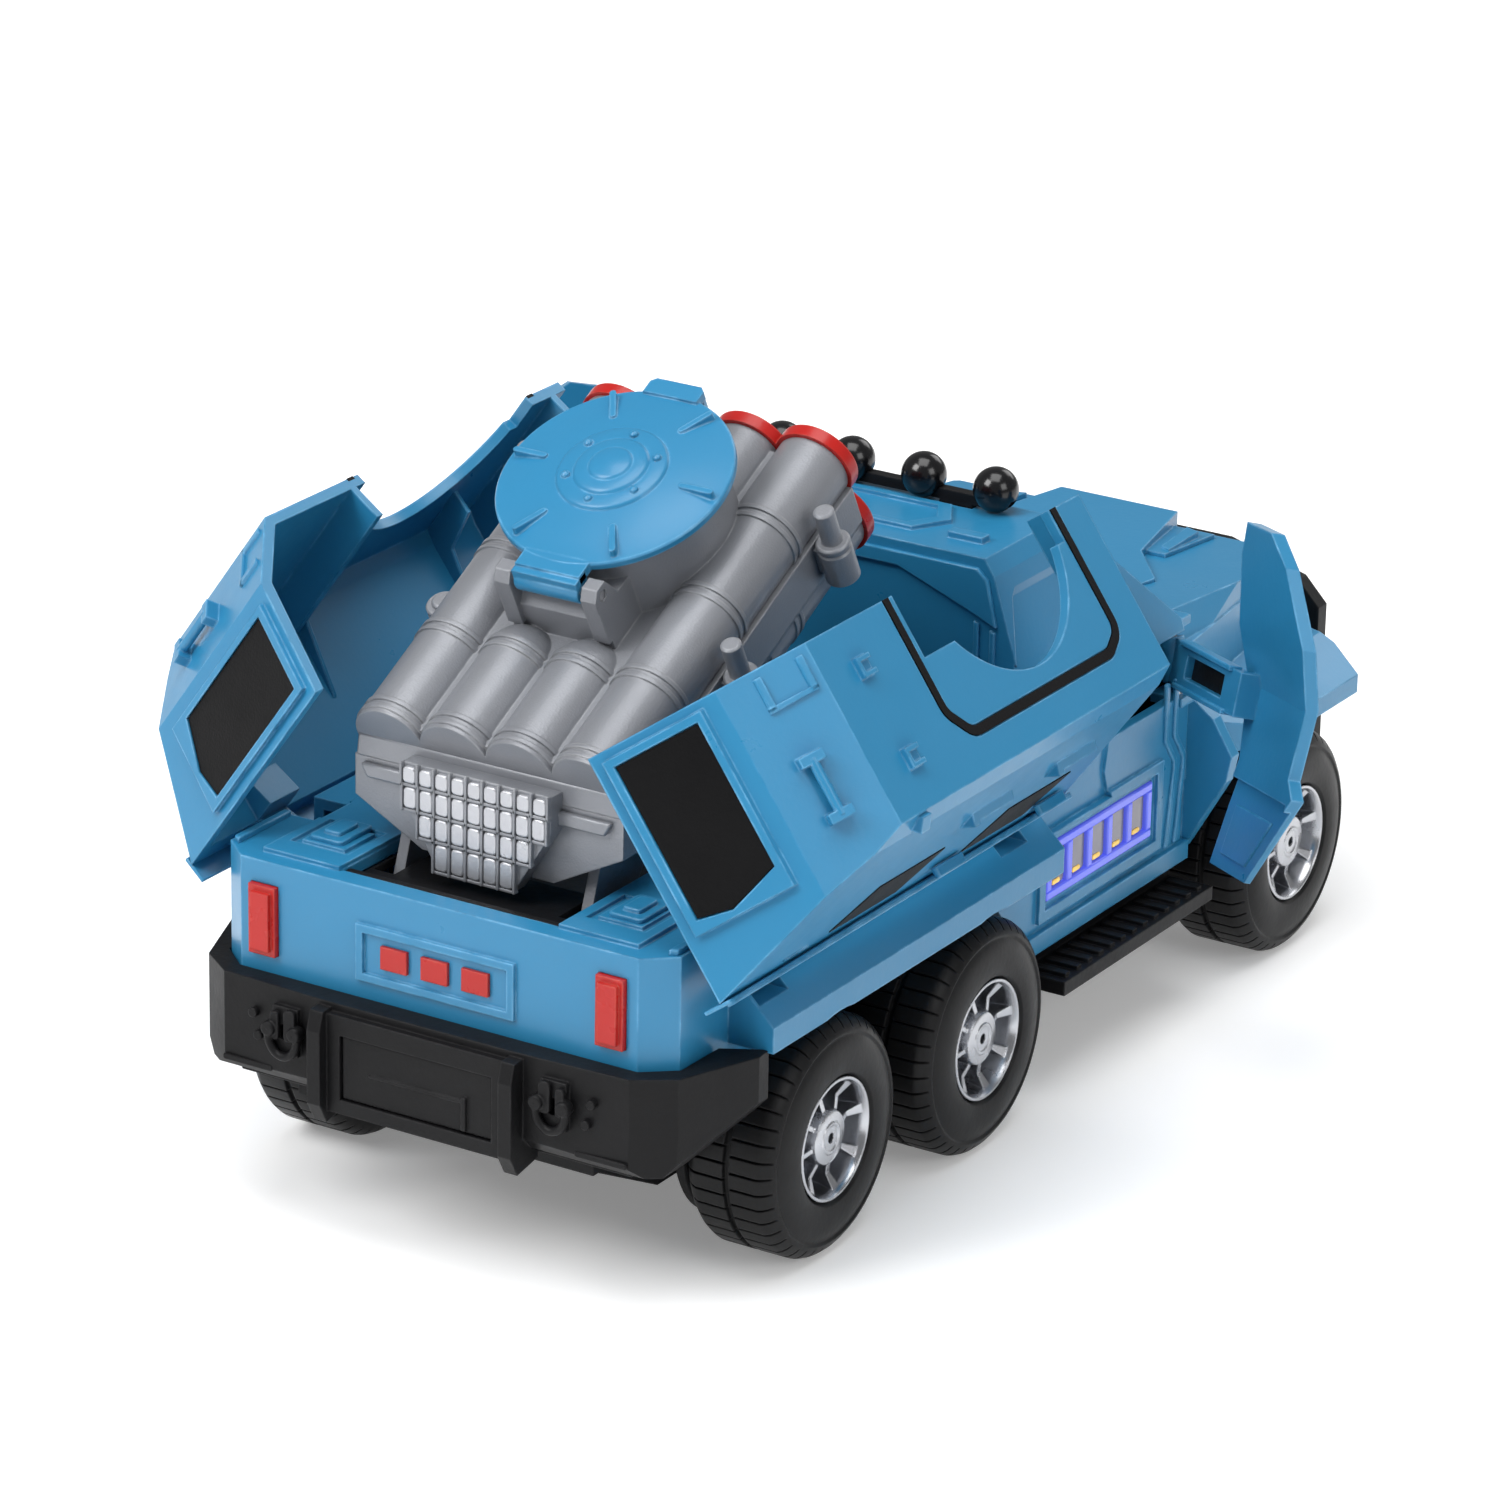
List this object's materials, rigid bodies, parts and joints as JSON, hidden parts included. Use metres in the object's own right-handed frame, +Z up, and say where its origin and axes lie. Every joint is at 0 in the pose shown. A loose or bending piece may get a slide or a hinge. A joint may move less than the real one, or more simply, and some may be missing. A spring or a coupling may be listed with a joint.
{
  "type": "transforming robot car",
  "caption": "Six-wheel toy truck whose roof covers and doors swing open while a multi-tube launcher with a round hatch tilts up.",
  "frame": {"origin": "middle of the footprint's bounding box on the ground, measured opened up as in the picture", "axes": "+X to the vehicle's right, +Y forward towards the bull bar, +Z up"},
  "size_m": [0.1734, 0.2448, 0.1342],
  "materials": {
    "blue_abs": "satin",
    "black_gloss": "gloss",
    "black_satin": "satin",
    "red_abs": "gloss",
    "silver_paint": "satin",
    "bright_silver": "satin",
    "clear_lens": "gloss",
    "head_lens": "gloss",
    "tyre_black": "satin",
    "chrome_rim": "gloss",
    "steel": "satin",
    "board_green": "matte",
    "inner_white": "matte",
    "cell_can": "satin",
    "speaker_black": "matte"
  },
  "bodies": {
    "vehicle": {"body_shell": "blue_abs", "tail_lamps": "red_abs", "plate_bars": "red_abs", "cab_glass": "black_gloss", "hood_panel": "blue_abs", "side_lenses": "clear_lens", "lamp_boards": "board_green", "light_bar": "black_satin", "roof_lamps": "black_gloss", "bull_bar": "black_satin", "front_grille": "black_satin", "head_lamps": "head_lens", "rear_bumper": "black_satin", "step_boards": "black_satin", "deck_liner": "black_satin", "chassis": "black_satin", "body_screws": "steel", "battery_cells": "cell_can", "battery_door": "black_satin", "battery_screw": "steel", "circuit_board": "board_green", "speaker": "speaker_black", "lift_gearbox": "inner_white", "cover_right_pins": "steel", "cover_left_pins": "steel", "door_pins": "steel", "launcher_axle": "steel"},
    "launcher": {"launcher_top": "silver_paint", "launcher_base": "silver_paint", "launcher_bezel": "red_abs", "launcher_lattice": "bright_silver", "launcher_rams": "silver_paint", "launcher_screws": "steel", "hatch_pin": "steel"},
    "hatch": {"hatch_lid": "blue_abs"},
    "right_cover": {"cover_right": "blue_abs", "cover_right_panes": "black_gloss"},
    "left_cover": {"cover_left": "blue_abs", "cover_left_panes": "black_gloss"},
    "right_door": {"door_right": "blue_abs"},
    "left_door": {"door_left": "blue_abs"},
    "rear_wheels": {"rear_tyres": "tyre_black", "rear_rims": "chrome_rim", "rear_axle_rod": "steel"},
    "middle_wheels": {"middle_tyres": "tyre_black", "middle_rims": "chrome_rim", "middle_axle_rod": "steel"},
    "front_wheels": {"front_tyres": "tyre_black", "front_rims": "chrome_rim", "front_axle_rod": "steel"},
    "swivel_drive": {"turret": "black_satin", "turret_cap": "inner_white"},
    "swivel_wheels": {"turret_wheels": "tyre_black"},
    "switch_knob": {"power_switch": "red_abs"}
  },
  "joints": [
    {"name": "launcher_tilt", "type": "hinge", "parent": "vehicle", "child": "launcher", "pos_m": [0, -0.0966, 0.0513], "axis": [1, 0, 0], "range_deg": [-27.7, 0]},
    {"name": "hatch_lift", "type": "hinge", "parent": "launcher", "child": "hatch", "pos_m": [0, -0.08085, 0.10972], "axis": [1, 0, 0], "range_deg": [0, 95]},
    {"name": "right_cover_swing", "type": "hinge", "parent": "vehicle", "child": "right_cover", "pos_m": [0.0407, -0.0494, 0.0546], "axis": [0, 1, 0], "range_deg": [-54.8, 0]},
    {"name": "left_cover_swing", "type": "hinge", "parent": "vehicle", "child": "left_cover", "pos_m": [-0.0407, -0.0494, 0.0546], "axis": [0, -1, 0], "range_deg": [-54.8, 0]},
    {"name": "right_door_swing", "type": "hinge", "parent": "vehicle", "child": "right_door", "pos_m": [0.0412, 0.0592, 0.0626], "axis": [-0.2714, 0.1736, 0.9467], "range_deg": [-51, 0]},
    {"name": "left_door_swing", "type": "hinge", "parent": "vehicle", "child": "left_door", "pos_m": [-0.0412, 0.0592, 0.0626], "axis": [-0.2714, -0.1736, -0.9467], "range_deg": [-51, 0]},
    {"name": "rear_wheels_roll", "type": "hinge", "parent": "vehicle", "child": "rear_wheels", "pos_m": [0, -0.0744, 0.021], "axis": [1, 0, 0], "continuous": true},
    {"name": "middle_wheels_roll", "type": "hinge", "parent": "vehicle", "child": "middle_wheels", "pos_m": [0, -0.0245, 0.021], "axis": [1, 0, 0], "continuous": true},
    {"name": "front_wheels_roll", "type": "hinge", "parent": "vehicle", "child": "front_wheels", "pos_m": [0, 0.0861, 0.021], "axis": [1, 0, 0], "continuous": true},
    {"name": "drive_swivel", "type": "hinge", "parent": "vehicle", "child": "swivel_drive", "pos_m": [0, 0.0316, 0.012], "axis": [0, 0, 1], "continuous": true},
    {"name": "drive_roll", "type": "hinge", "parent": "swivel_drive", "child": "swivel_wheels", "pos_m": [0, 0.0316, 0.0076], "axis": [1, 0, 0], "continuous": true},
    {"name": "power_slide", "type": "slide", "parent": "vehicle", "child": "switch_knob", "axis": [1, 0, 0], "range_m": [0, 0.003]}
  ],
  "couplings": [
    {"joint": "right_cover_swing", "follows": "launcher_tilt", "ratio": 1.9783},
    {"joint": "left_cover_swing", "follows": "launcher_tilt", "ratio": 1.9783},
    {"joint": "right_door_swing", "follows": "launcher_tilt", "ratio": 1.8411},
    {"joint": "left_door_swing", "follows": "launcher_tilt", "ratio": 1.8411}
  ]
}
